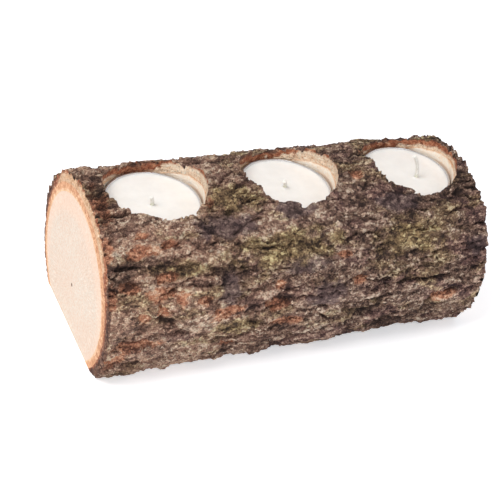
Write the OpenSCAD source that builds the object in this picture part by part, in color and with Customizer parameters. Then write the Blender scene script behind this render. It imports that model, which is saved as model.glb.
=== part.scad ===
// Log tealight holder: a short length of bark-on branch, sawn flat underneath,
// with a row of blind pockets drilled down into its top, each holding one tealight.
// X runs along the log, Z is up, and the origin is under the middle of the log on
// the surface that it stands on. All sizes are in millimetres.

/* [Log] */
// Length between the two sawn ends
log_len = 166; // [132:1:200]
// Diameter over the ridges of the bark
log_d = 81; // [66:1:98]
// Height of the log's centre above the sawn base
axis_h = 26; // [20:1:31]
// How far the heartwood grew towards the back, off the log's centre
wood_back = 1.2; // [0:0.1:1.5]
// How far the heartwood grew towards the base, off the log's centre
wood_drop = 1.6; // [0:0.1:1.9]

/* [Bark] */
// Thickness of the outer, corky bark under a ridge
bark_t = 4; // [3.6:0.1:6]
// Thickness of the inner bark
inner_bark_t = 3.2; // [2.7:0.1:5]
// Depth of the furrows between the ridges
furrow_depth = 1.8; // [0.5:0.1:2]
// Number of furrows round the whole branch
furrows = 24; // [12:4:36]

/* [Pockets] */
// Number of pockets in the row
pocket_count = 3; // [3:1:3]
// Radial gap between a tealight's rim and its pocket
pocket_gap = 0.75; // [0.3:0.05:1.5]
// Wood left between the first pocket and the left end
left_wall = 9.25; // [3:0.25:12]
// Wood left between the last pocket and the right end
right_wall = 3.5; // [3:0.25:12]
// How far the row of pockets stands behind the log's centre
row_back = 1.2; // [0:0.1:4]
// Depth of a tealight's rim below the top of the bark
rim_recess = 9; // [3:0.5:14]

/* [Tealight] */
// Diameter over the rolled rim of the cup
tealight_d = 38; // [32:0.5:46]
// Height of the cup
cup_h = 15; // [12:0.5:18]
// Thickness of the cup's sheet
cup_wall = 0.35; // [0.3:0.05:0.5]
// Width of the rolled rim beyond the cup's side
rim_roll = 0.5; // [0.4:0.05:0.8]
// Radius of the cup's bottom corner
cup_corner = 1.6; // [1:0.1:2.5]
// Depth of the wax below the rim
wax_level = 1.1; // [0.6:0.1:3]
// Rise of the wax where it clings to the cup
wax_cling = 0.4; // [0.1:0.1:0.5]

/* [Wick] */
// Diameter of the wick
wick_d = 1.6; // [1:0.1:2.4]
// Length of each wick that shows above the wax, left to right
wick_show = [4, 4.5, 12]; // [2:0.5:14]
// Lean of each wick's tip from upright in degrees, left to right
wick_lean = [25, 55, 40]; // [5:1:80]
// Way that each wick leans in degrees from +X, left to right
wick_heading = [180, 215, 180]; // [0:5:360]
// How far each wick and its tab stand off the middle of the cup along X, left to right
wick_off_x = [-1, 0, 3.5]; // [-4:0.5:4]
// How far each wick and its tab stand off the middle of the cup along Y, left to right
wick_off_y = [-2, 0, -3]; // [-4:0.5:4]
// Diameter of the steel tab that holds the wick
tab_d = 13; // [9:0.5:16]
// Thickness of the tab's sheet
tab_t = 0.4; // [0.3:0.1:0.6]
// Height of the tab's crimped neck
neck_h = 3; // [2:0.5:4]
// Thickness of the neck's wall
neck_wall = 0.6; // [0.4:0.1:0.8]

/* [Hidden] */

log_r = log_d / 2;
log_top = axis_h + log_r;
wood_r = log_r - bark_t - inner_bark_t;
inner_bark_r = log_r - bark_t;
// The inner bark's own centre lies between the log's and the heartwood's
inner_bark_share = 0.5;

pocket_r = tealight_d / 2 + pocket_gap;
first_x = -log_len / 2 + left_wall + pocket_r;
last_x = log_len / 2 - right_wall - pocket_r;
pocket_pitch = (last_x - first_x) / (pocket_count - 1);
pocket_floor = log_top - rim_recess - cup_h;

cup_r = tealight_d / 2 - rim_roll;
cup_inner_r = cup_r - cup_wall;
wax_z = cup_h - wax_level;
wax_cling_w = 2;
wick_r = wick_d / 2;
neck_r = wick_r + neck_wall;
tab_r = tab_d / 2;
tab_top = cup_wall + tab_t;

// Angle between the points of the bark's outline, and how unevenly furrows are spaced
outline_step = 2;
furrow_drift = 40;
// Room that a cut leaves past the surface that it goes through
past = 1;
$fn = 96;

// Radius of the bark's outline at angle a from straight up: broad plates, narrow furrows
function bark_outline_r(a) =
    log_r - furrow_depth * pow(1 - abs(cos(furrows / 2 * a + furrow_drift * sin(2 * a))), 2);

function pocket_x(i) = first_x + i * pocket_pitch;

// Turns a cross-section, drawn with its X towards the back and its Y up, into a log
module along_log() {
    translate([-log_len / 2, 0, axis_h]) rotate([90, 0, 90]) linear_extrude(log_len) children();
}

// The cross-section above the sawn base
module sawn_flat() {
    difference() {
        children();
        translate([-log_d, -axis_h - log_d]) square([2 * log_d, log_d]);
    }
}

// Disc for a layer of the trunk whose centre is a share of the heartwood's offset
module layer_disc(r, share) {
    translate([wood_back * share, -wood_drop * share]) circle(r);
}

module bark_outline() {
    polygon([
        for (a = [0 : outline_step : 360 - outline_step])
            bark_outline_r(a) * [sin(a), cos(a)]
    ]);
}

// The blind pockets, drilled straight down side by side
module pockets() {
    for (i = [0 : pocket_count - 1])
        translate([pocket_x(i), row_back, pocket_floor])
            cylinder(r = pocket_r, h = log_top - pocket_floor + past);
}

module log_wood() {
    color("bisque") difference() {
        along_log() sawn_flat() layer_disc(wood_r, 1);
        pockets();
    }
}

module inner_bark() {
    color("peru") difference() {
        along_log() sawn_flat() difference() {
            layer_disc(inner_bark_r, inner_bark_share);
            layer_disc(wood_r, 1);
        }
        pockets();
    }
}

module outer_bark() {
    color("saddlebrown") difference() {
        along_log() sawn_flat() difference() {
            bark_outline();
            layer_disc(inner_bark_r, inner_bark_share);
        }
        pockets();
    }
}

// Places a tealight's piece on the floor of pocket i
module in_pocket(i) {
    translate([pocket_x(i), row_back, pocket_floor]) children();
}

// Thin pressed cup with a rounded bottom corner and a rim rolled outwards
module cup() {
    color("silver") union() {
        rotate_extrude() difference() {
            union() {
                square([cup_r - cup_corner, cup_corner]);
                translate([cup_r - cup_corner, cup_corner]) intersection() {
                    circle(cup_corner);
                    translate([0, -cup_corner]) square(cup_corner);
                }
                translate([0, cup_corner]) square([cup_r, cup_h - cup_corner]);
            }
            translate([0, cup_wall]) wax_bed();
            translate([0, cup_h - cup_wall]) square([cup_inner_r, cup_wall + past]);
        }
        translate([0, 0, cup_h - rim_roll]) rotate_extrude() difference() {
            translate([cup_r, 0]) square([rim_roll, rim_roll]);
            translate([cup_r + rim_roll, 0]) circle(r = rim_roll / 2);
        }
    }
}

// Half section of the space inside the cup, up to its rim
module wax_bed() {
    inner_corner = cup_corner - cup_wall;
    square([cup_inner_r - inner_corner, inner_corner]);
    translate([cup_inner_r - inner_corner, inner_corner]) intersection() {
        circle(inner_corner);
        translate([0, -inner_corner]) square(inner_corner);
    }
    translate([0, inner_corner]) square([cup_inner_r, cup_h - cup_wall - inner_corner]);
}

// Moves a wick's piece as far off the middle of its cup as wick i stands
module off_middle(i) {
    translate([wick_off_x[i], wick_off_y[i], 0]) children();
}

// Poured wax, which fills the cup round the tab and the wick
module wax(i) {
    color("whitesmoke") difference() {
        rotate_extrude() difference() {
            translate([0, cup_wall]) wax_bed();
            polygon([
                [0, wax_z],
                [cup_inner_r - wax_cling_w, wax_z],
                [cup_inner_r, wax_z + wax_cling],
                [cup_inner_r + past, wax_z + wax_cling],
                [cup_inner_r + past, cup_h + past],
                [0, cup_h + past]
            ]);
        }
        off_middle(i) {
            cylinder(r = tab_r, h = tab_top);
            cylinder(r = neck_r, h = tab_top + neck_h);
            cylinder(r = wick_r, h = cup_h);
        }
    }
}

// Steel tab: a disc on the cup's floor with a neck crimped round the wick
module wick_tab(i) {
    color("lightslategray") off_middle(i) translate([0, 0, cup_wall]) difference() {
        union() {
            cylinder(r = tab_r, h = tab_t);
            cylinder(r = neck_r, h = tab_t + neck_h);
        }
        translate([0, 0, tab_t]) cylinder(r = wick_r, h = neck_h + past);
    }
}

// Waxed cord, upright in the wax, then curled over in one arc to its tip
module wick(i) {
    lean = wick_lean[i];
    curl_r = wick_show[i] / (lean * PI / 180);
    color("ivory") off_middle(i) {
        translate([0, 0, tab_top]) cylinder(r = wick_r, h = wax_z - tab_top);
        rotate([0, 0, wick_heading[i]]) translate([curl_r, 0, wax_z]) rotate([90, 0, 180])
            rotate_extrude(angle = lean) translate([curl_r, 0]) circle(wick_r);
    }
}

log_wood();
inner_bark();
outer_bark();
in_pocket(0) cup();  // cup_left
in_pocket(0) wax(0);  // wax_left
in_pocket(0) wick(0);  // wick_left
in_pocket(0) wick_tab(0);  // wick_tab_left
in_pocket(1) cup();  // cup_middle
in_pocket(1) wax(1);  // wax_middle
in_pocket(1) wick(1);  // wick_middle
in_pocket(1) wick_tab(1);  // wick_tab_middle
in_pocket(2) cup();  // cup_right
in_pocket(2) wax(2);  // wax_right
in_pocket(2) wick(2);  // wick_right
in_pocket(2) wick_tab(2);  // wick_tab_right
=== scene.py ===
import math

import bmesh
import bpy
from mathutils import Matrix, Vector
from mathutils import noise as mathutils_noise


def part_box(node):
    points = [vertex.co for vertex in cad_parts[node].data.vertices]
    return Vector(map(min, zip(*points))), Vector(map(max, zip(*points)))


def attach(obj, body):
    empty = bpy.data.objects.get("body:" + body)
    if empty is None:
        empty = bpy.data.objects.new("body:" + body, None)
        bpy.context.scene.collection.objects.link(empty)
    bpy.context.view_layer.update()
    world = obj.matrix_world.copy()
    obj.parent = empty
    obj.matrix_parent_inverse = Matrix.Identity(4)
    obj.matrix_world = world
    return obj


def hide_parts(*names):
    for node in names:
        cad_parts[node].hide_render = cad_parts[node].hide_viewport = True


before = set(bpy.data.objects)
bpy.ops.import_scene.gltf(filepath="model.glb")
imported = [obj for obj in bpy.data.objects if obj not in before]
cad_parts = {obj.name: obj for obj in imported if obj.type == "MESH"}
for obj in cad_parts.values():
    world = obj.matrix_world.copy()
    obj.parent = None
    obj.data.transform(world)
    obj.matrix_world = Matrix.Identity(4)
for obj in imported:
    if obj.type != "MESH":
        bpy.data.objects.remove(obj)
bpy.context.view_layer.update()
scene = bpy.context.scene

# ---------------------------------------------------------------------------------------
# Camera: a short telephoto held above the front left corner of the log, tipped a little,
# so that the sawn end and the row of tealights both show.
CAMERA_TARGET = Vector((-0.0130, -0.0090, 0.0346))
CAMERA_DISTANCE = 0.5124
CAMERA_AZIMUTH = math.radians(-31.15)
CAMERA_HEIGHT = math.radians(36.57)
CAMERA_TIP = math.radians(12.28)
CAMERA_LENS = 91.95

level_right = Vector((math.cos(CAMERA_AZIMUTH), math.sin(CAMERA_AZIMUTH), 0))
looking = Vector(
    (
        -math.sin(CAMERA_AZIMUTH) * math.cos(CAMERA_HEIGHT),
        math.cos(CAMERA_AZIMUTH) * math.cos(CAMERA_HEIGHT),
        -math.sin(CAMERA_HEIGHT),
    )
)
level_up = level_right.cross(looking)
tipped_right = level_right * math.cos(CAMERA_TIP) + level_up * math.sin(CAMERA_TIP)
tipped_up = level_up * math.cos(CAMERA_TIP) - level_right * math.sin(CAMERA_TIP)
camera_data = bpy.data.cameras.new("camera")
camera_data.lens = CAMERA_LENS
camera_data.clip_start = 0.01
camera = bpy.data.objects.new("camera", camera_data)
camera_turn = Matrix((tipped_right, tipped_up, -looking)).transposed()
camera_place = CAMERA_TARGET - looking * CAMERA_DISTANCE
camera.matrix_world = Matrix.Translation(camera_place) @ camera_turn.to_4x4()
scene.collection.objects.link(camera)
scene.camera = camera

# ---------------------------------------------------------------------------------------
# Studio: a white table top under a large soft box from the left and above, with plenty of
# white fill, so that the shadows stay faint.
HALF_TABLE = 3.0
TABLE_WHITE = (0.9, 0.9, 0.91, 1)
TABLE_GLOW = (0.97, 0.98, 1, 1)
TABLE_GLOW_STRENGTH = 0.4
ROOM_WHITE = (0.96, 0.97, 1.0, 1)
ROOM_STRENGTH = 0.6
LOG_MIDDLE = Vector((0, 0, 0.03))
# Place, size, power and colour of each soft box
SOFT_BOXES = {
    "key": ((-0.62, -0.12, 0.95), 0.5, 7.3, (1, 0.98, 0.96)),
    "fill": ((-0.25, -1.0, 0.6), 0.8, 3.4, (1, 1, 1)),
}
scene.view_settings.view_transform = "Standard"

table_paint = bpy.data.materials.new("white_table")
table_paint.use_nodes = True
for label, value in (
    ("Base Color", TABLE_WHITE),
    ("Roughness", 0.6),
    ("Emission Color", TABLE_GLOW),
    ("Emission Strength", TABLE_GLOW_STRENGTH),
):
    table_paint.node_tree.nodes["Principled BSDF"].inputs[label].default_value = value
table_mesh = bpy.data.meshes.new("table_top")
table_corners = [
    (x * HALF_TABLE, y * HALF_TABLE, 0) for x, y in ((-1, -1), (1, -1), (1, 1), (-1, 1))
]
table_mesh.from_pydata(table_corners, [], [(0, 1, 2, 3)])
table_mesh.materials.append(table_paint)
table_top = bpy.data.objects.new("table_top", table_mesh)
scene.collection.objects.link(table_top)

world = bpy.data.worlds.new("studio")
world.use_nodes = True
world.node_tree.nodes["Background"].inputs["Color"].default_value = ROOM_WHITE
world.node_tree.nodes["Background"].inputs["Strength"].default_value = ROOM_STRENGTH
scene.world = world
for name, (place, size, power, colour) in SOFT_BOXES.items():
    light = bpy.data.lights.new(name, "AREA")
    light.size = size
    light.energy = power
    light.color = colour
    lamp = bpy.data.objects.new(name, light)
    lamp.location = place
    lamp.rotation_euler = (LOG_MIDDLE - Vector(place)).to_track_quat("-Z", "Y").to_euler()
    scene.collection.objects.link(lamp)

# ---------------------------------------------------------------------------------------
# Log wood: the pale, dry trunk of the branch, sawn off square at both ends and flat
# underneath. A flat-bottomed drill with a centre point has sunk three blind pockets in it.
MM = 0.001
wood_low, wood_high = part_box("log_wood")
LOG_LENGTH = wood_high.x - wood_low.x
WOOD_RADIUS = (wood_high.y - wood_low.y) / 2
WOOD_BACK = (wood_high.y + wood_low.y) / 2
WOOD_HEIGHT = wood_high.z - WOOD_RADIUS
WOOD_WAVER = 0.3 * MM
NAMES = ("left", "middle", "right")
cup_boxes = {name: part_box(f"cup_{name}") for name in NAMES}
CUP_RADIUS = (cup_boxes["left"][1].x - cup_boxes["left"][0].x) / 2
POCKET_GAP = 0.75 * MM
POCKET_RADIUS = CUP_RADIUS + POCKET_GAP
POCKET_CENTRES = {
    name: Vector(((low.x + high.x) / 2, (low.y + high.y) / 2, low.z))
    for name, (low, high) in cup_boxes.items()
}
DRILL_LENGTH = 30 * MM
DRILL_POINT = 1.6 * MM
DRILL_POINT_RADIUS = 1.4 * MM
# Where the pith runs, towards the back and up from the base, in millimetres
PITH = (0, 1.2, 20.0)
# A layer turns this far from the top to either side and is this much longer than the
# finished log, and the saw cuts the rest off
LAYER_HALF_TURN = math.radians(150)
LAYER_SPARE = 20 * MM
SAW_BLOCK = 0.2


class Field:
    """What a node puts out: a number, a vector, a colour or a geometry. Arithmetic with it
    adds Math nodes to its tree."""

    def __init__(self, socket):
        self.socket = socket

    def __add__(self, other):
        return maths("ADD", self, other)

    def __radd__(self, other):
        return maths("ADD", other, self)

    def __sub__(self, other):
        return maths("SUBTRACT", self, other)

    def __rsub__(self, other):
        return maths("SUBTRACT", other, self)

    def __mul__(self, other):
        return maths("MULTIPLY", self, other)

    def __truediv__(self, other):
        return maths("DIVIDE", self, other)

    def __rtruediv__(self, other):
        return maths("DIVIDE", other, self)


def new_node(tree, kind, inputs=None, **settings):
    """A new node with its settings, and its inputs by name, each a value or a field."""
    node = tree.nodes.new(kind)
    for key, value in settings.items():
        setattr(node, key, value)
    for key, value in (inputs or {}).items():
        if isinstance(value, Field):
            tree.links.new(value.socket, node.inputs[key])
        else:
            node.inputs[key].default_value = value
    return node


def fields(tree, kind, inputs=None, **settings):
    """All that a new node puts out, by name."""
    node = new_node(tree, kind, inputs, **settings)
    return {socket.name: Field(socket) for socket in node.outputs}


def add(tree, kind, inputs=None, out=0, **settings):
    """The one output of a new node that is wanted."""
    return Field(new_node(tree, kind, inputs, **settings).outputs[out])


def home(*values):
    """The tree of the first field among the values."""
    return next(value.socket.id_data for value in values if isinstance(value, Field))


def maths(operation, *values, clamp=False):
    """The result of a Math node."""
    inputs = dict(enumerate(values))
    return add(home(*values), "ShaderNodeMath", inputs, operation=operation, use_clamp=clamp)


def vectors(operation, *values, out=0):
    """The result of a Vector Math node."""
    inputs = dict(enumerate(values))
    return add(home(*values), "ShaderNodeVectorMath", inputs, out, operation=operation)


def stretched(vector, x=1.0, y=1.0, z=1.0):
    """A vector with its three parts multiplied."""
    return vectors("MULTIPLY", vector, (x, y, z))


def scaled(vector, factor):
    """A vector as many times as long."""
    inputs = {0: vector, "Scale": factor}
    return add(home(vector), "ShaderNodeVectorMath", inputs, operation="SCALE")


def joined(x, y, z=0.0):
    """A vector of three numbers."""
    return add(home(x, y, z), "ShaderNodeCombineXYZ", {"X": x, "Y": y, "Z": z})


def parted(vector):
    """The X, Y and Z of a vector."""
    return fields(home(vector), "ShaderNodeSeparateXYZ", {0: vector})


def ramp(value, low, high, start=0.0, end=1.0):
    """value from low to high, eased into start to end."""
    inputs = {"Value": value, "From Min": low, "From Max": high, "To Min": start, "To Max": end}
    easing = {"interpolation_type": "SMOOTHSTEP"}
    return add(home(value), "ShaderNodeMapRange", inputs, "Result", **easing)


def noise(vector, scale, detail=2.0, rough=0.5, out="Fac"):
    """A Noise Texture, whose value is about 0.5 in the middle."""
    inputs = {"Vector": vector, "Scale": scale, "Detail": detail, "Roughness": rough}
    return add(home(vector), "ShaderNodeTexNoise", inputs, out)


def new_group(name, kind, inputs, outputs=("Geometry",), gives="Geometry"):
    """A new node group, its inputs as fields by name, and its output node. An input is given
    by its name, kind and default; all outputs are of the one kind that it gives."""
    tree = bpy.data.node_groups.new(name, kind)
    for label, socket, default in inputs:
        made = tree.interface.new_socket(label, in_out="INPUT", socket_type=f"NodeSocket{socket}")
        if default is not None:
            made.default_value = default
    for label in outputs:
        tree.interface.new_socket(label, in_out="OUTPUT", socket_type=f"NodeSocket{gives}")
    source = tree.nodes.new("NodeGroupInput")
    given = {socket.name: Field(socket) for socket in source.outputs}
    return tree, given, tree.nodes.new("NodeGroupOutput")


def give(result, values):
    """Joins fields to the output node of a group, by name."""
    for label, value in values.items():
        result.id_data.links.new(value.socket, result.inputs[label])


def keep(geometry, name, value, domain="POINT"):
    """A geometry with a field stored on it under a name."""
    inputs = {"Geometry": geometry, "Name": name, "Value": value}
    tree = home(geometry)
    return add(tree, "GeometryNodeStoreNamedAttribute", inputs, data_type="FLOAT", domain=domain)


def recall(tree, name):
    """A field read back by its name."""
    return add(tree, "GeometryNodeInputNamedAttribute", {"Name": name}, data_type="FLOAT")


def moved(geometry, **inputs):
    """A geometry whose points are set to a Position or moved by an Offset."""
    return add(home(geometry), "GeometryNodeSetPosition", {"Geometry": geometry, **inputs})


def transformed(geometry, **inputs):
    """A geometry moved by a Translation and a Scale as a whole."""
    return add(home(geometry), "GeometryNodeTransform", {"Geometry": geometry, **inputs})


def in_material(geometry, material, **inputs):
    """A geometry with its faces in a material."""
    inputs = {"Geometry": geometry, "Material": material, **inputs}
    return add(home(geometry), "GeometryNodeSetMaterial", inputs)


def kept_line(tree, points, name):
    """A straight curve that keeps each point's share of its length under a name."""
    inputs = {"Count": points, "Offset": (1, 0, 0)}
    line = add(tree, "GeometryNodeMeshLine", inputs, mode="END_POINTS")
    line = add(tree, "GeometryNodeMeshToCurve", {"Mesh": line})
    return keep(line, name, add(tree, "GeometryNodeSplineParameter", out="Factor"))


def make_round_log():
    """A closed log that lies along X: an arc over the top and a chord underneath, with its
    share of the length and its turn from the top kept on its points."""
    tree, given, result = new_group(
        "round_log",
        "GeometryNodeTree",
        (
            ("Length", "Float", 0.1),
            ("Radius", "Float", 0.04),
            ("Back", "Float", 0.0),
            ("Height", "Float", 0.03),
            ("Half turn", "Float", 2.4),
            ("Steps along", "Int", 20),
            ("Steps round", "Int", 60),
        ),
    )
    rail = kept_line(tree, given["Steps along"], "along")
    arc = kept_line(tree, given["Steps round"], "around")
    turn = (recall(tree, "around") - 0.5) * 2.0 * given["Half turn"]
    back = maths("SINE", turn)
    up = maths("COSINE", turn)
    arc = moved(arc, Position=joined(back, up))
    arc = add(tree, "GeometryNodeSetSplineCyclic", {"Geometry": arc, "Cyclic": True})
    inputs = {"Curve": rail, "Profile Curve": arc, "Fill Caps": True}
    solid = add(tree, "GeometryNodeCurveToMesh", inputs)
    place = joined(
        (recall(tree, "along") - 0.5) * given["Length"],
        back * given["Radius"] + given["Back"],
        up * given["Radius"] + given["Height"],
    )
    solid = keep(moved(solid, Position=place), "turn", turn)
    give(result, {"Geometry": add(tree, "GeometryNodeFlipFaces", {"Mesh": solid})})
    return tree


round_log = make_round_log()


def outward(tree):
    """Away from the axis of a round log."""
    turn = recall(tree, "turn")
    return joined(0.0, maths("SINE", turn), maths("COSINE", turn))


def grown_layer(tree, radius, back, height, waver):
    """A log longer than the finished one, whose radius wavers as a branch's layers do."""
    inputs = {
        "Length": LOG_LENGTH + LAYER_SPARE,
        "Radius": radius,
        "Back": back,
        "Height": height,
        "Half turn": LAYER_HALF_TURN,
        "Steps along": 48,
        "Steps round": 110,
    }
    layer = add(tree, "GeometryNodeGroup", inputs, node_tree=round_log)
    uneven = noise(add(tree, "GeometryNodeInputPosition"), 150.0) - 0.5
    return moved(layer, Offset=scaled(outward(tree), uneven * waver))


def taken_away(body, cutter, material, operation="DIFFERENCE"):
    """body less cutter, or what both share, with the new faces in a material."""
    cutter = in_material(cutter, material)
    body_input = "Mesh 1" if operation == "DIFFERENCE" else "Mesh 2"
    tree = home(body)
    cut = new_node(
        tree,
        "GeometryNodeMeshBoolean",
        {body_input: body},
        operation=operation,
        solver="MANIFOLD",
    )
    tree.links.new(cutter.socket, cut.inputs["Mesh 2"])
    return Field(cut.outputs["Mesh"])


def sawn(body, length, material):
    """body sawn square at both ends of a length, and flat underneath."""
    size = joined(length, SAW_BLOCK, SAW_BLOCK)
    block = add(home(body), "GeometryNodeMeshCube", {"Size": size})
    block = transformed(block, Translation=(0, 0, SAW_BLOCK / 2))
    return taken_away(body, block, material, "INTERSECT")


def drill_bit(tree, centre, bite):
    """What the drill takes out over a pocket's floor: a cylinder that has torn away up to
    bite more in places."""
    inputs = {
        "Vertices": 192,
        "Side Segments": 36,
        "Radius": POCKET_RADIUS,
        "Depth": DRILL_LENGTH,
    }
    drill = add(tree, "GeometryNodeMeshCylinder", inputs)
    middle = (centre.x, centre.y, centre.z + DRILL_LENGTH / 2)
    drill = transformed(drill, Translation=middle)
    position = add(tree, "GeometryNodeInputPosition")
    away = vectors("SUBTRACT", position, (centre.x, centre.y, 0))
    away = vectors("NORMALIZE", stretched(away, z=0))
    torn = maths("POWER", noise(position, 190.0, 3.0, 0.65), 4.0)
    return moved(drill, Offset=scaled(away, torn * bite))


def drill_tip(tree, centre, depth):
    """The small cone that the drill's centre point leaves in a pocket's floor."""
    inputs = {
        "Vertices": 32,
        "Radius Top": DRILL_POINT_RADIUS,
        "Radius Bottom": 0.1 * MM,
        "Depth": 1.0,
    }
    return transformed(
        add(tree, "GeometryNodeMeshCone", inputs),
        Translation=joined(centre.x, centre.y, centre.z - depth),
        Scale=joined(1.0, 1.0, depth * 2.0),
    )


def finished(body, material, result):
    """Ends a tree in plain geometry of one material."""
    body = add(home(body), "GeometryNodeRealizeInstances", {"Geometry": body})
    give(result, {"Geometry": in_material(body, material)})


def grown(name, tree, values, crease=35):
    """A plain mesh object of what a Geometry Nodes tree makes with these inputs, with its
    edges sharp past a crease angle in degrees."""
    piece = bpy.data.objects.new(name, bpy.data.meshes.new(name))
    scene.collection.objects.link(piece)
    modifier = piece.modifiers.new("grow", "NODES")
    modifier.node_group = tree
    for item in tree.interface.items_tree:
        if item.in_out == "INPUT" and item.name in values:
            modifier[item.identifier] = values[item.name]
    depsgraph = bpy.context.evaluated_depsgraph_get()
    made = bpy.data.meshes.new_from_object(piece.evaluated_get(depsgraph))
    piece.modifiers.clear()
    piece.data = made
    made.name = name
    made.shade_smooth()
    made.set_sharp_from_angle(angle=math.radians(crease))
    return piece


def screen(red, green, blue):
    """A colour from its 0 to 255 screen values."""
    return tuple(((part / 255 + 0.055) / 1.055) ** 2.4 for part in (red, green, blue)) + (1,)


def new_finish(name, rough, specular=0.3):
    """A new material, its node tree and its shader, with the shader's own constants set."""
    material = bpy.data.materials.new(name)
    material.use_nodes = True
    shader = material.node_tree.nodes["Principled BSDF"]
    shader.inputs["Roughness"].default_value = rough
    shader.inputs["Specular IOR Level"].default_value = specular
    return material, material.node_tree, shader


def dress(shader, colour, rough, height, distance, strength=1.0):
    """Joins a colour, a roughness and a height, in units of distance, to a shader."""
    inputs = {"Height": height, "Distance": distance, "Strength": strength}
    bump = add(shader.id_data, "ShaderNodeBump", inputs)
    for label, value in (("Base Color", colour), ("Roughness", rough), ("Normal", bump)):
        shader.id_data.links.new(value.socket, shader.inputs[label])


def placed(tree, group, **inputs):
    """The outputs of a shader group in a material. Its inputs' names are given with _ for a
    space, without capitals."""
    inputs = {key.capitalize().replace("_", " "): value for key, value in inputs.items()}
    return fields(tree, "ShaderNodeGroup", inputs, node_tree=group)


def millimetres(tree):
    """Object coordinates in millimetres."""
    return scaled(add(tree, "ShaderNodeTexCoord", out="Object"), 1000.0)


def mixed(share, first, second):
    """The colour first turned into second by share."""
    inputs = {0: share, 6: first, 7: second}
    return add(home(share), "ShaderNodeMix", inputs, 2, data_type="RGBA")


def make_growth_rings():
    """Growth rings and rays round a pith that runs along X, for the wood and the bark."""
    tree, given, result = new_group(
        "growth_rings",
        "ShaderNodeTree",
        (
            ("Place", "Vector", None),
            ("Pith", "Vector", (0, 0, 0)),
            ("Ring width", "Float", 1.8),
            ("Rays", "Float", 60.0),
        ),
        ("Ring", "Ray", "Radius", "Fibre"),
        "Float",
    )
    away = vectors("SUBTRACT", given["Place"], given["Pith"])
    across = stretched(away, x=0.0)
    radius = vectors("LENGTH", across, out="Value")
    wobble = noise(stretched(away, x=0.15), 0.07) - 0.5
    turns = (radius + wobble * 6.0) / given["Ring width"]
    ring = ramp(maths("POWER", maths("FRACT", turns), 2.5), 0.0, 1.0)
    split = parted(across)
    angle = maths("ARCTAN2", split["Y"], split["Z"])
    spokes = joined(angle * given["Rays"], radius * 0.25)
    ray = ramp(noise(spokes, 1.0, 2.0, 0.6), 0.42, 0.75)
    fibre = noise(stretched(given["Place"], 0.05, 1.6, 1.6), 1.0, 3.0, 0.65)
    give(result, {"Ring": ring, "Ray": ray, "Radius": radius, "Fibre": fibre})
    return tree


def make_crumbly_grain():
    """The grainy break-up of bark, cut bark and sawn wood: speckle, pits and a height."""
    tree, given, result = new_group(
        "crumbly_grain",
        "ShaderNodeTree",
        (
            ("Place", "Vector", None),
            ("Grain size", "Float", 1.0),
            ("Flecks", "Float", 0.5),
        ),
        ("Speckle", "Pit", "Height"),
        "Float",
    )
    place = scaled(given["Place"], 1.0 / given["Grain size"])
    fine = noise(stretched(place, x=0.75), 1.0, 3.0, 0.6)
    crumbs = noise(vectors("ADD", place, (31, 17, 5)), 1.3)
    limit = 0.74 - given["Flecks"] * 0.25
    fleck = maths("MULTIPLY", crumbs - limit, 12.0, clamp=True)
    pit = maths("MULTIPLY", 0.43 - crumbs, 9.0, clamp=True)
    height = fine + fleck * 0.35 - pit * 0.4
    give(result, {"Speckle": ramp(fine, 0.34, 0.66), "Pit": pit, "Height": height})
    return tree


growth_rings = make_growth_rings()
crumbly_grain = make_crumbly_grain()


def end_mask(tree):
    """1 on the faces that look along the log, which are its sawn ends."""
    facing_x = parted(add(tree, "ShaderNodeNewGeometry", out="Normal"))["X"]
    at_x = parted(add(tree, "ShaderNodeTexCoord", out="Object"))["X"]
    outermost = ramp(maths("ABSOLUTE", at_x), LOG_LENGTH / 2 - 0.2 * MM, LOG_LENGTH / 2)
    return outermost * ramp(maths("ABSOLUTE", facing_x), 0.8, 0.95)


WOOD_CREAM = screen(215, 208, 197)
WOOD_PEACH = screen(216, 202, 189)
WOOD_RING = screen(216, 184, 158)
WOOD_PORE = screen(206, 168, 138)
WOOD_RAY = screen(250, 236, 222)
WOOD_FIBRE = screen(222, 184, 150)
WOOD_SAP = screen(238, 200, 174)
WOOD_PITH = screen(96, 66, 48)


def wood_finish():
    """Fresh-sawn pale wood, with faint rings and rays and the saw's and the drill's marks."""
    material, tree, shader = new_finish("sawn_wood", 0.72, 0.25)
    place = millimetres(tree)
    figure = placed(tree, growth_rings, place=place, pith=PITH, ring_width=1.7, rays=46.0)
    grain = placed(tree, crumbly_grain, place=place, grain_size=0.8, flecks=0.2)
    end_grain = end_mask(tree)
    lengthwise = (1.0 - end_grain) * 0.4
    colour = mixed(ramp(noise(place, 0.05), 0.35, 0.65), WOOD_CREAM, WOOD_PEACH)
    for share, shade in (
        (figure["Ring"] * 0.22, WOOD_RING),
        ((1.0 - grain["Speckle"]) * 0.65, WOOD_PORE),
        (figure["Ray"] * end_grain * 0.35, WOOD_RAY),
        (ramp(figure["Fibre"], 0.4, 0.7) * lengthwise, WOOD_FIBRE),
        (ramp(figure["Radius"], 27.0, 32.5) * 0.3, WOOD_SAP),
        (ramp(figure["Radius"], 1.0, 0.45) * end_grain, WOOD_PITH),
    ):
        colour = mixed(share, colour, shade)
    saw_lines = noise(stretched(place, 0.3, 0.25, 1.6), 1.0)
    height = grain["Height"] + saw_lines * 0.8 + figure["Fibre"] * 0.8
    dress(shader, colour, 0.62 + grain["Speckle"] * 0.2, height, 0.12 * MM, 0.8)
    return material


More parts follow.
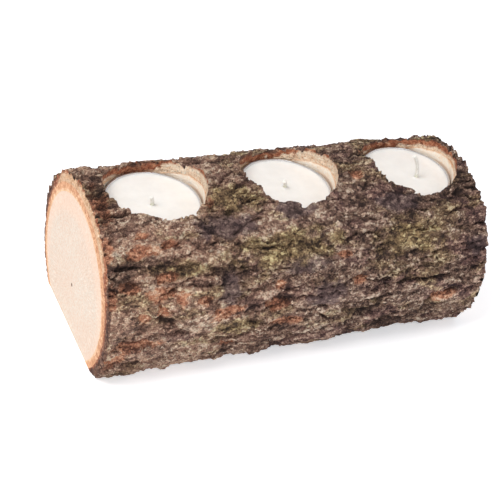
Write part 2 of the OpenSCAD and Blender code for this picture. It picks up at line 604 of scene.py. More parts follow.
def make_wood_tree():
    """The trunk as a round log, sawn and drilled."""
    tree, given, result = new_group(
        "drilled_trunk",
        "GeometryNodeTree",
        (
            ("Length", "Float", 0.166),
            ("Radius", "Float", 0.0333),
            ("Back", "Float", 0.0),
            ("Height", "Float", 0.0244),
            ("Waver", "Float", 0.0),
            ("Point", "Float", 0.0016),
            ("Wood", "Material", None),
        ),
    )
    wood = given["Wood"]
    shape = [given[label] for label in ("Radius", "Back", "Height", "Waver")]
    body = sawn(grown_layer(tree, *shape), given["Length"], wood)
    for centre in POCKET_CENTRES.values():
        body = taken_away(body, drill_bit(tree, centre, 0.0), wood)
        body = taken_away(body, drill_tip(tree, centre, given["Point"]), wood)
    finished(body, wood, result)
    return tree


log_wood = grown(
    "log_wood_trunk",
    make_wood_tree(),
    {
        "Length": LOG_LENGTH,
        "Radius": WOOD_RADIUS,
        "Back": WOOD_BACK,
        "Height": WOOD_HEIGHT,
        "Waver": WOOD_WAVER,
        "Point": DRILL_POINT,
        "Wood": wood_finish(),
    },
)
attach(log_wood, "log")
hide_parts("log_wood")

# ---------------------------------------------------------------------------------------
# Inner bark: the tan, fibrous layer between the wood and the corky skin. It shows as a
# ring at both saw cuts and as a band round the top of the pockets, and is still stuck fast.
liner_low, liner_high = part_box("inner_bark")
LINER_RADIUS = (liner_high.y - liner_low.y) / 2
LINER_BACK = (liner_high.y + liner_low.y) / 2
LINER_HEIGHT = liner_high.z - LINER_RADIUS
LINER_WAVER = 2.0 * MM


def palette(*colours):
    """Four shades, from dark to bright, from their screen values."""
    return tuple(screen(*colour) for colour in colours)


BAST_CREAM = palette((246, 222, 194), (255, 240, 220), (255, 246, 232), (255, 252, 244))
BAST_TAN = palette((190, 138, 102), (226, 182, 144), (242, 208, 174), (252, 232, 206))
BAST_ORANGE = palette((160, 98, 66), (204, 146, 108), (228, 180, 142), (246, 216, 184))
CAMBIUM = screen(222, 184, 132)


def make_bark_crumbs():
    """The crumbs that bark breaks up into: a tone for each, the gaps and a height."""
    tree, given, result = new_group(
        "bark_crumbs",
        "ShaderNodeTree",
        (("Place", "Vector", None), ("Crumb size", "Float", 1.0)),
        ("Tone", "Gap", "Height"),
        "Float",
    )
    place = scaled(given["Place"], 1.0 / given["Crumb size"])
    sway = noise(place, 1.1, 2.0, 0.6, "Color")
    place = stretched(vectors("ADD", place, stretched(sway, 1.8, 1.8, 1.8)), x=0.75)
    tones = []
    domes = []
    for size in (1.0, 2.1):
        crumb = fields(tree, "ShaderNodeTexVoronoi", {"Vector": place, "Scale": size})
        tones.append(fields(tree, "ShaderNodeSeparateColor", {0: crumb["Color"]})["Red"])
        domes.append(ramp(crumb["Distance"], 0.75, 0.1))
    fine = ramp(noise(place, 2.2, 3.0, 0.65), 0.3, 0.7)
    tone = fine * 0.2 + tones[0] * 0.45 + tones[1] * 0.35
    height = domes[0] + domes[1] * 0.5 + tone * 0.6
    give(result, {"Tone": tone, "Gap": ramp(domes[0], 0.32, 0.05), "Height": height})
    return tree


bark_crumbs = make_bark_crumbs()


def shades(tone, dark, middle, light, bright):
    """A colour from four shades, darkest where the tone is 0 and brightest where it is 1."""
    colour = mixed(ramp(tone, 0.12, 0.42), dark, middle)
    colour = mixed(ramp(tone, 0.42, 0.7), colour, light)
    return mixed(ramp(tone, 0.7, 0.86), colour, bright)


def rim_mask(tree):
    """1 within the crumbled rims of the bark at the two ends of the log."""
    at_x = parted(add(tree, "ShaderNodeTexCoord", out="Object"))["X"]
    half = LOG_LENGTH / 2
    return ramp(maths("ABSOLUTE", at_x), half - 3.0 * MM, half - 2.6 * MM)


def fresh_layers_and_lit_walls(tree):
    """1 on the pocket walls that face −X, towards the key light, and on those facing straight
    along +X: partly the pale, fresh layers that the drill cut through, partly painted light that
    makes the lit walls paler than the rest.
    """
    facing_x = parted(add(tree, "ShaderNodeNewGeometry", out="Normal"))["X"]
    uneven = noise(millimetres(tree), 0.25, 3.0, 0.6) * 0.9
    on_right = ramp(facing_x + uneven, 0.4, -0.25)
    pale = maths("MAXIMUM", on_right, ramp(facing_x, 0.86, 0.97))
    return pale * (1.0 - rim_mask(tree))


def inner_bark_finish():
    """Tan bast: cream by the wood, orange-brown by the cork, with fine layers and fibres."""
    material, tree, shader = new_finish("bast_fibre", 0.8, 0.2)
    place = millimetres(tree)
    pith = (0, WOOD_BACK / MM, WOOD_HEIGHT / MM)
    figure = placed(tree, growth_rings, place=place, pith=pith, ring_width=0.7, rays=70.0)
    crumbs = placed(tree, bark_crumbs, place=place, crumb_size=1.3)
    grain = placed(tree, crumbly_grain, place=place, grain_size=0.8, flecks=0.4)
    wavy = noise(place, 0.22, 3.0) * 2.4
    depth = figure["Radius"] + wavy - WOOD_RADIUS / MM
    # The pocket walls turn paler where fresh layers show, which is partly painted light on the
    # walls that face the key light
    depth = depth + rim_mask(tree) * 3.4 - fresh_layers_and_lit_walls(tree) * 1.2
    tone = 0.12 + crumbs["Tone"] * 0.76
    colour = shades(tone, *BAST_CREAM)
    colour = mixed(ramp(depth, 3.0, 4.2), colour, shades(tone, *BAST_TAN))
    colour = mixed(ramp(depth, 4.8, 6.2), colour, shades(tone, *BAST_ORANGE))
    colour = mixed(figure["Ring"] * 0.15, colour, BAST_ORANGE[1])
    by_wood = ramp(figure["Radius"] - WOOD_RADIUS / MM, 0.5, 0.1)
    colour = mixed(by_wood * 0.35, colour, CAMBIUM)
    height = grain["Height"] + figure["Ring"] * 0.4
    dress(shader, colour, 0.7 + grain["Speckle"] * 0.2, height, 0.25 * MM, 0.9)
    return material


def make_inner_bark_tree():
    """The inner bark as what is left of a wider log once the trunk is taken out of it."""
    tree, given, result = new_group(
        "inner_bark_sleeve",
        "GeometryNodeTree",
        (
            ("Length", "Float", 0.166),
            ("Torn by drill", "Float", 0.0),
            ("Inner bark", "Material", None),
        ),
    )
    bast = given["Inner bark"]
    layer = grown_layer(tree, LINER_RADIUS, LINER_BACK, LINER_HEIGHT, LINER_WAVER)
    trunk = grown_layer(tree, WOOD_RADIUS, WOOD_BACK, WOOD_HEIGHT, WOOD_WAVER)
    body = taken_away(sawn(layer, given["Length"], bast), trunk, bast)
    for centre in POCKET_CENTRES.values():
        body = taken_away(body, drill_bit(tree, centre, given["Torn by drill"]), bast)
    finished(body, bast, result)
    return tree


inner_bark = grown(
    "inner_bark_sleeve",
    make_inner_bark_tree(),
    {"Length": LOG_LENGTH, "Torn by drill": 1.5 * MM, "Inner bark": inner_bark_finish()},
)
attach(inner_bark, "log")
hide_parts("inner_bark")

# ---------------------------------------------------------------------------------------
# Outer bark: the corky, furrowed skin of the branch. It breaks into plates that run along
# the log, has crumbled at the saw cuts and the pockets, carries algae on its shaded bands,
# and shows rusty inner layers where a scale has come off.
log_low, log_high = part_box("outer_bark")
LOG_RADIUS = (log_high.y - log_low.y) / 2
AXIS_HEIGHT = log_high.z - LOG_RADIUS

# Places where a scale has come off: distance along the log and round it from the top
# (towards the front is negative), then half length and half width, all in millimetres
RUST_PATCHES = (
    (-69, -30, 6.8, 2.4),
    (-58, -28, 3.4, 1.6),
    (-68, -24, 3.4, 1.3),
    (-82, -28, 2.4, 4.4),
    (-82, -46, 2.6, 4.6),
    (-61, -40, 4, 2.0),
    (-75, -43, 4, 2.0),
    (-63, -46, 5.5, 2.4),
    (-54, -49, 2.6, 3.8),
    (-46, -51, 3.2, 1.6),
    (-62, -54, 2.6, 2.2),
    (-70, -55, 2.6, 2.0),
    (-36, -58, 6.4, 2.8),
    (-72, -68, 9, 2.8),
    (-32, -76, 3, 2.2),
    (-14, -58, 5, 2.6),
    (-14, -49, 2.4, 1.4),
    (-8, -67, 6.6, 2.4),
    (15, -40, 4, 1.4),
    (22, -52, 2.8, 2.0),
    (-38, -12, 2.2, 2.6),
    (29, -7, 3, 3),
    (64, -66, 5.5, 2.4),
    (-79, -8, 3.5, 9),
    (-78, -76, 3.5, 6),
)
# Bands of green algae, smooth slate-dark plates and long dark cracks, in the same measures
ALGAE_PATCHES = (
    (-10, -35, 24, 6),
    (-27, -12, 12, 6),
    (-54, -38, 12, 3),
    (45, -38, 16, 6),
    (-30, -66, 10, 4),
)
SLATE_PATCHES = (
    (-33, -24, 13, 5),
    (-34, -49, 4.5, 6.5),
    (-2, -42, 9, 4),
    (8, -56, 9, 5.5),
    (-4, -20, 8, 4),
    (78, -45, 5, 4.5),
    (44, -22, 9, 4),
)
CRACKS = (
    (-77, -35, 6, 0.9),
    (-70, -81, 10, 1.6),
    (50, -56, 17, 0.9),
    (56, -82, 24, 0.9),
    (20, -88, 18, 0.9),
    (-30, -71, 14, 0.6),
)
# Bark by the pockets' near edges that has grown higher or lower than the rest: the same
# measures, then how much higher
POCKET_LIPS = (
    (-61, -21, 12, 8, 2.4),
    (-75, -8, 7, 8, -1.6),
    (-2, -21, 16, 8, 1.8),
    (60, -23, 14, 7, -0.6),
)
CRUMBLED_RIM = 2.4 * MM
# How much more the far end has crumbled than the near one
FAR_END_CRUMBLE = 2.5
CAP_AREA = 0.0005
SAWN_BED = (0.3, 0.2, 0.04)


def patch_mask(spot, rough, patches, edge=0.35):
    """1 inside any of the patches and 0 outside, with a broken edge."""
    nearest = None
    for along, around, half_length, half_width in patches:
        offset = vectors("SUBTRACT", spot, (along, around, 0))
        offset = vectors("DIVIDE", offset, (half_length, half_width, 1))
        away = vectors("LENGTH", offset, out="Value")
        nearest = away if nearest is None else maths("MINIMUM", nearest, away)
    return ramp(nearest + (rough - 0.5) * 3.0, 1.0 + edge / 2, 1.0 - edge / 2)


def make_bark_tree():
    """Bark as a displaced round log, cut by its liner, the saw and the drill."""
    tree, given, result = new_group(
        "bark_on_log",
        "GeometryNodeTree",
        (
            ("Length", "Float", 0.166),
            ("Radius", "Float", 0.0405),
            ("Axis height", "Float", 0.026),
            ("Half turn", "Float", math.radians(136)),
            ("Steps along", "Int", 296),
            ("Steps round", "Int", 330),
            ("Plate width", "Float", 6.5),
            ("Flake layers", "Float", 9.0),
            ("Flake depth", "Float", 8.0),
            ("Furrow depth", "Float", 1.3),
            ("Grain depth", "Float", 1.9),
            ("Torn by drill", "Float", 4.5 * MM),
            ("Seed", "Float", 3.0),
            ("Bark", "Material", None),
            ("Cut bark", "Material", None),
        ),
    )
    shared = ("Length", "Radius", "Half turn", "Steps along", "Steps round")
    inputs = {label: given[label] for label in shared}
    inputs["Height"] = given["Axis height"]
    body = add(tree, "GeometryNodeGroup", inputs, node_tree=round_log)

    # Millimetres along the log and round it from the top
    place = parted(add(tree, "GeometryNodeInputPosition"))
    along = place["X"] * 1000.0
    around = recall(tree, "turn") * (given["Radius"] * 1000.0)
    spot = joined(along, around)
    seeded = joined(along, around, given["Seed"] * 17.0)

    # Warp, so that nothing runs dead straight
    warp = vectors("SUBTRACT", noise(seeded, 0.06, 3.0, 0.6, "Color"), (0.5, 0.5, 0.5))
    warped = vectors("ADD", seeded, stretched(warp, 18, 11, 0))

    # Flakes: cork that has come away in thin layers, whose edges step down
    layers = noise(stretched(warped, x=0.42), 0.13, 4.0, 0.62) * given["Flake layers"]
    flakes = maths("FLOOR", layers) + ramp(maths("FRACT", layers), 0.0, 0.4)
    flakes = flakes / given["Flake layers"] - 0.5

    # Plates: long cells, with a furrow along only some of their edges
    cells = {"Vector": stretched(warped, x=0.3), "Scale": 1.0 / given["Plate width"]}
    voronoi = "ShaderNodeTexVoronoi"
    plate_edge = add(tree, voronoi, cells, "Distance", feature="DISTANCE_TO_EDGE")
    plate_tone = add(tree, voronoi, cells, "Color")
    plate_tone = fields(tree, "FunctionNodeSeparateColor", {0: plate_tone})
    furrow = ramp(plate_edge, 0.1, 0.0) * ramp(noise(seeded, 0.07), 0.38, 0.58)
    dome = ramp(plate_edge, 0.0, 0.3)

    # A few long splits that follow the grain
    split_line = noise(stretched(warped, x=0.13), 0.085, 1.0) - 0.5
    split_line = ramp(maths("ABSOLUTE", split_line), 0.014, 0.0)
    split_line = split_line * ramp(noise(seeded, 0.05, 0.0), 0.48, 0.6)

    grain = noise(stretched(seeded, x=0.8), 0.8, 3.0, 0.7)
    knobbly = noise(stretched(warped, x=0.6), 0.33, 2.0, 0.6)
    swell = noise(seeded, 0.03, 1.0)
    ragged = noise(stretched(seeded, x=0.7), 0.26, 4.0, 0.65)

    rust = patch_mask(spot, ragged, RUST_PATCHES)
    algae = patch_mask(spot, ragged, ALGAE_PATCHES, 0.9)
    slate = patch_mask(spot, ragged, SLATE_PATCHES, 0.5)
    crack = patch_mask(spot, ragged, CRACKS, 0.9)
    # The back carries the same marks, placed by chance
    behind = ramp(around, 2.0, 14.0)
    blotch = noise(stretched(seeded, x=0.5), 0.11, 3.0, 0.6)
    rust = maths("MAXIMUM", rust, ramp(blotch, 0.63, 0.67) * behind)
    algae = maths("MAXIMUM", algae, ramp(noise(seeded, 0.045, 3.0), 0.5, 0.66) * behind)

    # Height in millimetres below the outermost envelope
    calm = 1.0 - slate * 0.45
    height = flakes * given["Flake depth"] + dome * 0.5
    for hollow, depth in (
        (furrow, given["Furrow depth"]),
        (plate_tone["Red"], 0.5),
        (split_line, 1.5),
        (crack, 1.8),
        (rust, 0.8),
    ):
        height = height - hollow * depth
    height = height - 0.3
    for bumps, depth in ((swell, 2.6), (knobbly, 3.0), (grain, given["Grain depth"])):
        height = height + (bumps - 0.5) * depth * calm
    for *patch, raised in POCKET_LIPS:
        height = height + patch_mask(spot, 0.5, (patch,), 1.6) * raised
    height = maths("MINIMUM", height, grain + 0.9)
    for label, value in (
        ("rust", rust),
        ("algae", algae),
        ("slate", slate),
        ("height", height),
        ("tone", plate_tone["Blue"]),
    ):
        body = keep(body, label, value)
    body = moved(body, Offset=scaled(outward(tree), height * MM))
    within = maths("MINIMUM", place["Y"], given["Radius"])
    within = maths("MAXIMUM", within, given["Radius"] * -1.0)
    body = moved(body, Position=joined(place["X"], within, place["Z"]))

    # Crumbled rims at the two saw cuts, finished with a flat ring that the saw left
    share = recall(tree, "along")
    at_left = maths("LESS_THAN", share, 0.0001)
    at_right = maths("GREATER_THAN", share, 0.9999)
    chips = maths("POWER", noise(seeded, 0.35, 3.0, 0.7), 2.0)
    crumble = chips * (at_left - at_right * FAR_END_CRUMBLE) * CRUMBLED_RIM
    body = moved(body, Offset=joined(crumble, 0.0))
    facing_x = parted(add(tree, "GeometryNodeInputNormal"))["X"]
    large = maths("GREATER_THAN", add(tree, "GeometryNodeInputMeshFaceArea"), CAP_AREA)
    is_cap = large * maths("GREATER_THAN", maths("ABSOLUTE", facing_x), 0.8)
    inputs = {"Mesh": body, "Selection": is_cap, "Offset Scale": 0.0, "Individual": True}
    ring = fields(tree, "GeometryNodeExtrudeMesh", inputs, mode="FACES")
    inputs = {"Geometry": ring["Mesh"], "Selection": ring["Top"], "Scale": 0.95}
    body = add(tree, "GeometryNodeScaleElements", inputs, domain="FACE")
    flat = joined((share - 0.5) * given["Length"], place["Y"], place["Z"])
    body = moved(body, Selection=ring["Top"], Position=flat)
    ring_faces = maths("ADD", ring["Top"], ring["Side"], clamp=True)
    body = keep(body, "skin", 1.0 - ring_faces, "FACE")
    body = in_material(body, given["Cut bark"])

    # The liner, the sawn base and the drilled pockets all take bark away
    under = add(tree, "GeometryNodeMeshCube", {"Size": SAWN_BED})
    under = transformed(under, Translation=(0, 0, -SAWN_BED[2] / 2))
    cutters = [grown_layer(tree, LINER_RADIUS, LINER_BACK, LINER_HEIGHT, LINER_WAVER), under]
    for centre in POCKET_CENTRES.values():
        cutters.append(drill_bit(tree, centre, given["Torn by drill"]))
    for cutter in cutters:
        body = taken_away(body, cutter, given["Cut bark"])
    body = add(tree, "GeometryNodeRealizeInstances", {"Geometry": body})
    skin = maths("GREATER_THAN", recall(tree, "skin"), 0.5)
    give(result, {"Geometry": in_material(body, given["Bark"], Selection=skin)})
    return tree


# The shades of the crumbs in each kind of place
CORK_BROWN = palette((70, 54, 49), (122, 94, 82), (182, 150, 129), (230, 208, 186))
CORK_PLUM = palette((66, 48, 48), (118, 88, 82), (168, 132, 118), (218, 184, 162))
CORK_SLATE = palette((64, 51, 52), (106, 86, 85), (142, 118, 113), (196, 172, 156))
CORK_MOSS = palette((64, 52, 40), (127, 104, 74), (180, 153, 106), (232, 214, 158))
CORK_DRY = palette((98, 73, 63), (164, 125, 106), (212, 174, 148), (242, 220, 194))
CORK_RUST = palette((124, 76, 56), (184, 122, 94), (222, 166, 132), (244, 208, 178))
# Near black, for the painted shade in pits, in the gaps between crumbs and in deep hollows
PAINTED_CREVICE_SHADE = screen(26, 20, 19)


def bark_finish():
    """Weathered cork: brown plates, slate ridges, olive algae and rusty scars, all crumbly."""
    material, tree, shader = new_finish("weathered_cork", 0.92, 0.2)
    place = millimetres(tree)
    kept = {}
    for label in ("rust", "algae", "slate", "height", "tone"):
        kept[label] = add(tree, "ShaderNodeAttribute", out="Fac", attribute_name=label)
    crumbs = placed(tree, bark_crumbs, place=place, crumb_size=1.2)
    coarse = placed(tree, crumbly_grain, place=place, grain_size=3.2, flecks=0.3)
    # Light and dark places of a few millimetres, over which the crumbs vary
    drift = (noise(stretched(place, x=0.6), 0.24, 4.0, 0.65) - 0.5) * 1.5
    # The tone sinks in the hollows and rises on the ridges: partly painted shade in the hollows
    # and painted light on the ridges, partly the paler weathered tops of the ridges
    risen = ramp(kept["height"], -2.2, 0.6, -0.16, 0.1)
    spread = (crumbs["Tone"] - 0.5) * (0.75 + (1.0 - kept["slate"]) * 0.35)
    tone = (0.44 + spread) + (drift + risen)
    plum = ramp(noise(stretched(place, x=0.45), 0.1, 3.0, 0.6), 0.48, 0.6)
    olive = stretched(vectors("ADD", place, (57, 33, 11)), x=0.45)
    olive = ramp(noise(olive, 0.11, 3.0, 0.6), 0.52, 0.66, 0.0, 0.5)
    drier = ramp(parted(place)["X"], 25.0, -60.0) * ramp(kept["tone"], 0.2, 0.6, 0.35, 0.9)
    scar = kept["rust"] * ramp(tone, 0.15, 0.4, 0.5, 1.0)
    colour = shades(tone, *CORK_BROWN)
    for share, cork in (
        (plum, CORK_PLUM),
        (drier, CORK_DRY),
        (olive, CORK_MOSS),
        (kept["slate"] * 0.85, CORK_SLATE),
        (kept["algae"] * 0.8, CORK_MOSS),
        (scar, CORK_RUST),
    ):
        colour = mixed(share, colour, shades(tone, *cork))
    # Painted shade: the gaps between crumbs, the pits and the hollows deep below the envelope are
    # darkened towards near black
    pits = maths("MAXIMUM", crumbs["Gap"] * 0.5, coarse["Pit"])
    colour = mixed(pits * (0.5 - kept["rust"] * 0.35), colour, PAINTED_CREVICE_SHADE)
    colour = mixed(ramp(kept["height"], -0.8, -3.0) * 0.7, colour, PAINTED_CREVICE_SHADE)
    height = crumbs["Height"] + coarse["Height"]
    dress(shader, colour, 0.8 + crumbs["Tone"] * 0.18, height, 0.6 * MM)
    return material


CUT_CREAM = palette((214, 166, 128), (244, 214, 184), (253, 234, 210), (255, 246, 230))
CUT_RUST = palette((96, 52, 38), (160, 96, 70), (204, 142, 108), (240, 206, 170))
CUT_BROWN = palette((50, 36, 33), (92, 64, 55), (140, 104, 86), (206, 170, 140))


def cut_bark_finish():
    """Freshly cut or torn cork: pale by the inner bark, then rust-red, and brown outside."""
    material, tree, shader = new_finish("cut_cork", 0.88, 0.2)
    place = millimetres(tree)
    pith = (0, 0, AXIS_HEIGHT / MM)
    figure = placed(tree, growth_rings, place=place, pith=pith, ring_width=0.9, rays=50.0)
    crumbs = placed(tree, bark_crumbs, place=place, crumb_size=1.2)
    grain = placed(tree, crumbly_grain, place=place, grain_size=0.8, flecks=0.5)
    sawn_end = rim_mask(tree)
    at = parted(place)
    # The pocket walls turn paler where fresh layers show, which is partly painted light on the
    # walls that face the key light
    pale_and_lit_walls = fresh_layers_and_lit_walls(tree) * ramp(at["X"], 76, 58, 0.2, 1.0)
    pale = maths("MAXIMUM", pale_and_lit_walls, sawn_end * ramp(at["Z"], 42, 58, 0.0, 1.4))
    wavy = noise(place, 0.2, 4.0, 0.7) * 4.0
    depth = figure["Radius"] + wavy - LOG_RADIUS / MM - pale * 3.4 + sawn_end * 2.0
    tone = 0.1 + crumbs["Tone"] * 0.8
    pale_shade = mixed(sawn_end, shades(tone, *CUT_CREAM), shades(tone, *BAST_TAN))
    colour = mixed(ramp(depth, -2.6, -1.2), pale_shade, shades(tone, *CUT_RUST))
    colour = mixed(ramp(depth, 0.0, 1.6), colour, shades(tone, *CUT_BROWN))
    # Painted shade in the pits of the cut cork
    colour = mixed(grain["Pit"] * 0.4, colour, PAINTED_CREVICE_SHADE)
    height = crumbs["Height"] + figure["Ring"] * 0.4
    dress(shader, colour, 0.75 + grain["Speckle"] * 0.2, height, 0.4 * MM)
    return material


bark = grown(
    "outer_bark_skin",
    make_bark_tree(),
    {
        "Length": LOG_LENGTH,
        "Radius": LOG_RADIUS,
        "Axis height": AXIS_HEIGHT,
        "Bark": bark_finish(),
        "Cut bark": cut_bark_finish(),
    },
    60,
)
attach(bark, "log")
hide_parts("outer_bark")

# ---------------------------------------------------------------------------------------
# Tealight cups: deep-drawn from thin aluminium sheet, with a rim rolled outwards, faint
# pleats where the sheet was gathered at the bottom corner, and a pressed-in base.
CUP_HEIGHT = cup_boxes["left"][1].z - cup_boxes["left"][0].z
RIM_ROLL = 0.5 * MM
CUP_SIDE = CUP_RADIUS - RIM_ROLL
CUP_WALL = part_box("wax_left")[0].z - cup_boxes["left"][0].z
CUP_INSIDE = CUP_SIDE - CUP_WALL
CUP_CORNER = 1.6 * MM
BASE_PRESS = 0.15 * MM
PRESSED_RADIUS = 12.2 * MM
STANDING_RADIUS = 13.2 * MM
PLEATS = 48
STEPS_PER_PLEAT = 5
PLEAT_DEPTH = 0.05 * MM
PLEAT_HEIGHT = 1.8 * MM
PLEAT_REACH = 1.6 * MM
BEAD_RADIUS = 0.56 * RIM_ROLL
METAL_GREY = screen(228, 229, 231)
METAL_DULL = screen(208, 209, 212)


def arc(centre, radius, start, end, steps):
    """Points of an arc, from one angle in degrees to another, in the half section."""
    points = []
    for step in range(steps + 1):
        angle = math.radians(start + (end - start) * step / steps)
        points.append((centre[0] + radius * math.cos(angle), centre[1] + radius * math.sin(angle)))
    return points


def turned(name, centre, profile, steps, shape, closed=False):
    """A solid of revolution about an upright axis over centre. The profile starts and ends
    on the axis, or is a closed loop clear of it; shape moves a point of it at an angle."""
    work = bmesh.new()
    rings = []
    for radius, height in profile:
        ring = []
        for step in range(steps if radius > 0 else 1):
            angle = math.tau * step / steps
            r, z = shape(radius, height, angle)
            point = Vector((r * math.cos(angle), r * math.sin(angle), z))
            ring.append(work.verts.new(centre + point))
        rings.append(ring)
    pairs = list(zip(rings, rings[1:]))
    if closed:
        pairs.append((rings[-1], rings[0]))
    for first, second in pairs:
        for step in range(steps):
            after = (step + 1) % steps
            corners = [
                first[step % len(first)],
                first[after % len(first)],
                second[after % len(second)],
                second[step % len(second)],
            ]
            work.faces.new(list(dict.fromkeys(corners)))
    bmesh.ops.recalc_face_normals(work, faces=work.faces)
    mesh = bpy.data.meshes.new(name)
    work.to_mesh(mesh)
    work.free()
    mesh.shade_smooth()
    mesh.set_sharp_from_angle(angle=math.radians(40))
    piece = bpy.data.objects.new(name, mesh)
    scene.collection.objects.link(piece)
    return piece


def make_drawn_metal():
    """The fine drawing lines and dull patches of thin pressed sheet."""
    tree, given, result = new_group(
        "drawn_metal",
        "ShaderNodeTree",
        (("Place", "Vector", None), ("Line size", "Float", 0.3)),
        ("Lines", "Dull"),
        "Float",
    )
    fine = scaled(stretched(given["Place"], 0.1, 0.1, 1.0), 1.0 / given["Line size"])
    dull = ramp(noise(given["Place"], 0.09), 0.3, 0.75)
    give(result, {"Lines": noise(fine, 1.0, 3.0, 0.7), "Dull": dull})
    return tree


drawn_metal = make_drawn_metal()


def metal_finish(name, light, dull, polish):
    """Pressed sheet metal, from light to dull colour, as rough as polish at its best."""
    material, tree, shader = new_finish(name, polish, 0.5)
    shader.inputs["Metallic"].default_value = 1.0
    marks = placed(tree, drawn_metal, place=millimetres(tree), line_size=0.25)
    colour = mixed(marks["Dull"], light, dull)
    dress(shader, colour, polish + marks["Dull"] * 0.08, marks["Lines"], 0.03 * MM, 0.6)
    return material


def pleated(radius, height, angle):
    """Pleats at the foot of the cup's side, on its outside only."""
    near_foot = max(0.0, 1.0 - abs(height - PLEAT_HEIGHT) / PLEAT_REACH)
    outside = radius > CUP_SIDE - CUP_WALL / 2
    depth = PLEAT_DEPTH * near_foot * (1 + math.cos(PLEATS * angle)) if outside else 0.0
    return radius - depth, height


bead_centre = (CUP_RADIUS - BEAD_RADIUS, CUP_HEIGHT - BEAD_RADIUS)
inner_corner = CUP_CORNER - CUP_WALL
cup_profile = [
    (0, BASE_PRESS),
    (PRESSED_RADIUS, BASE_PRESS),
    ((PRESSED_RADIUS + STANDING_RADIUS) / 2, 0.6 * BASE_PRESS),
    (STANDING_RADIUS, 0),
    *arc((CUP_SIDE - CUP_CORNER, CUP_CORNER), CUP_CORNER, -90, 0, 8),
    (CUP_SIDE, 2.6 * MM),
    (CUP_SIDE, 4 * MM),
    (CUP_SIDE, CUP_HEIGHT - 2.4 * BEAD_RADIUS),
    *arc(bead_centre, BEAD_RADIUS, -130, 90, 12),
    (CUP_INSIDE + 0.15 * MM, CUP_HEIGHT - 0.05 * MM),
    (CUP_INSIDE, CUP_HEIGHT - 0.4 * MM),
    *arc((CUP_INSIDE - inner_corner, CUP_CORNER), inner_corner, 0, -90, 6),
    (0, CUP_WALL),
]
cup_metal = metal_finish("drawn_aluminium", METAL_GREY, METAL_DULL, 0.24)
cup_steps = PLEATS * STEPS_PER_PLEAT
for name in NAMES:
    cup = turned(f"cup_{name}_drawn", POCKET_CENTRES[name], cup_profile, cup_steps, pleated)
    cup.data.materials.append(cup_metal)
    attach(cup, f"tealight_{name}")
    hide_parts(f"cup_{name}")

# ---------------------------------------------------------------------------------------
# Wick tabs: a stamped steel disc on the floor of each cup, whose neck is crimped on the
# wick in three places. The wax hides it.
tab_low, tab_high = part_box("wick_tab_left")
TAB_RADIUS = (tab_high.x - tab_low.x) / 2
TAB_SHEET = 0.4 * MM
TAB_EDGE = 0.1 * MM
TAB_STEPS = 48
NECK_TOP = tab_high.z - cup_boxes["left"][0].z
WICK_RADIUS = 0.8 * MM
NECK_RADIUS = WICK_RADIUS + 0.6 * MM
CRIMP_DEPTH = 0.12 * MM
STEEL_LIGHT = screen(176, 180, 184)
STEEL_DULL = screen(132, 136, 142)


def crimped(radius, height, angle):
    """Three dents round the outside of the neck."""
    on_neck = height > CUP_WALL + 2 * TAB_SHEET and radius > NECK_RADIUS - 0.1 * MM
    dent = CRIMP_DEPTH * (1 + math.cos(3 * angle)) / 2 if on_neck else 0.0
    return radius - dent, height


tab_floor = CUP_WALL + TAB_SHEET
tab_profile = [
    (0, CUP_WALL),
    (TAB_RADIUS - TAB_EDGE, CUP_WALL),
    (TAB_RADIUS, CUP_WALL + TAB_EDGE),
    (TAB_RADIUS, tab_floor - TAB_EDGE),
    (TAB_RADIUS - TAB_EDGE, tab_floor),
    (NECK_RADIUS, tab_floor),
    (NECK_RADIUS, tab_floor + 0.5 * MM),
    (NECK_RADIUS, NECK_TOP - 0.8 * MM),
    (NECK_RADIUS, NECK_TOP),
    (WICK_RADIUS, NECK_TOP),
    (WICK_RADIUS, tab_floor),
    (0, tab_floor),
]
tab_steel = metal_finish("stamped_steel", STEEL_LIGHT, STEEL_DULL, 0.32)
tab_centres = {}
for name in NAMES:
    low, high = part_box(f"wick_tab_{name}")
    middle = (low + high) / 2
    tab_centres[name] = Vector((middle.x, middle.y, POCKET_CENTRES[name].z))
    tab = turned(f"wick_tab_{name}_stamped", tab_centres[name], tab_profile, TAB_STEPS, crimped)
    tab.data.materials.append(tab_steel)
    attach(tab, f"tealight_{name}")
    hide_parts(f"wick_tab_{name}")

# ---------------------------------------------------------------------------------------
# Wicks: three cotton strands twisted together and stiffened with wax. Each stands in its
# tab up to the top of the wax, where its loose end curls over in one arc.
WAX_CLING = 0.4 * MM
WAX_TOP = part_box("wax_left")[1].z - cup_boxes["left"][0].z - WAX_CLING
# Length that shows, lean of the tip from upright, and the way it leans from +X
WICKS = {"left": (4, 25, 180), "middle": (4.5, 55, 215), "right": (12, 40, 180)}
# The strands' outline dips to this share of the wick's radius between them
STRAND_DIP = 0.66
# The wax that the wick has drawn up greens this many millimetres of it
GREEN_RISE = 2.5
WICK_PALE = screen(249, 247, 241)
WICK_SHADE = screen(224, 221, 212)
WICK_GREEN = screen(218, 222, 184)


def wick_finish():
    """Waxed cotton: off-white fibres along the strands, with painted shade in the grooves between
    them.
    """
    material, tree, shader = new_finish("waxed_cotton", 0.7, 0.35)
    place = millimetres(tree)
    fibre = noise(stretched(place, 3.0, 3.0, 0.8), 1.5, 3.0, 0.6)
    lobe = add(tree, "ShaderNodeAttribute", out="Fac", attribute_name="lobe")
    root = (POCKET_CENTRES["left"].z + WAX_TOP) / MM
    near_wax = ramp(parted(place)["Z"], root + GREEN_RISE, root)
    colour = mixed(ramp(fibre, 0.3, 0.7), WICK_SHADE, WICK_PALE)
    # Painted shade in the grooves between the strands
    colour = mixed(ramp(lobe, 0.5, 0.0) * 0.6, colour, WICK_SHADE)
    colour = mixed(near_wax * 0.5, colour, WICK_GREEN)
    dress(shader, colour, 0.6 + fibre * 0.2, fibre, 0.1 * MM, 0.8)
    return material


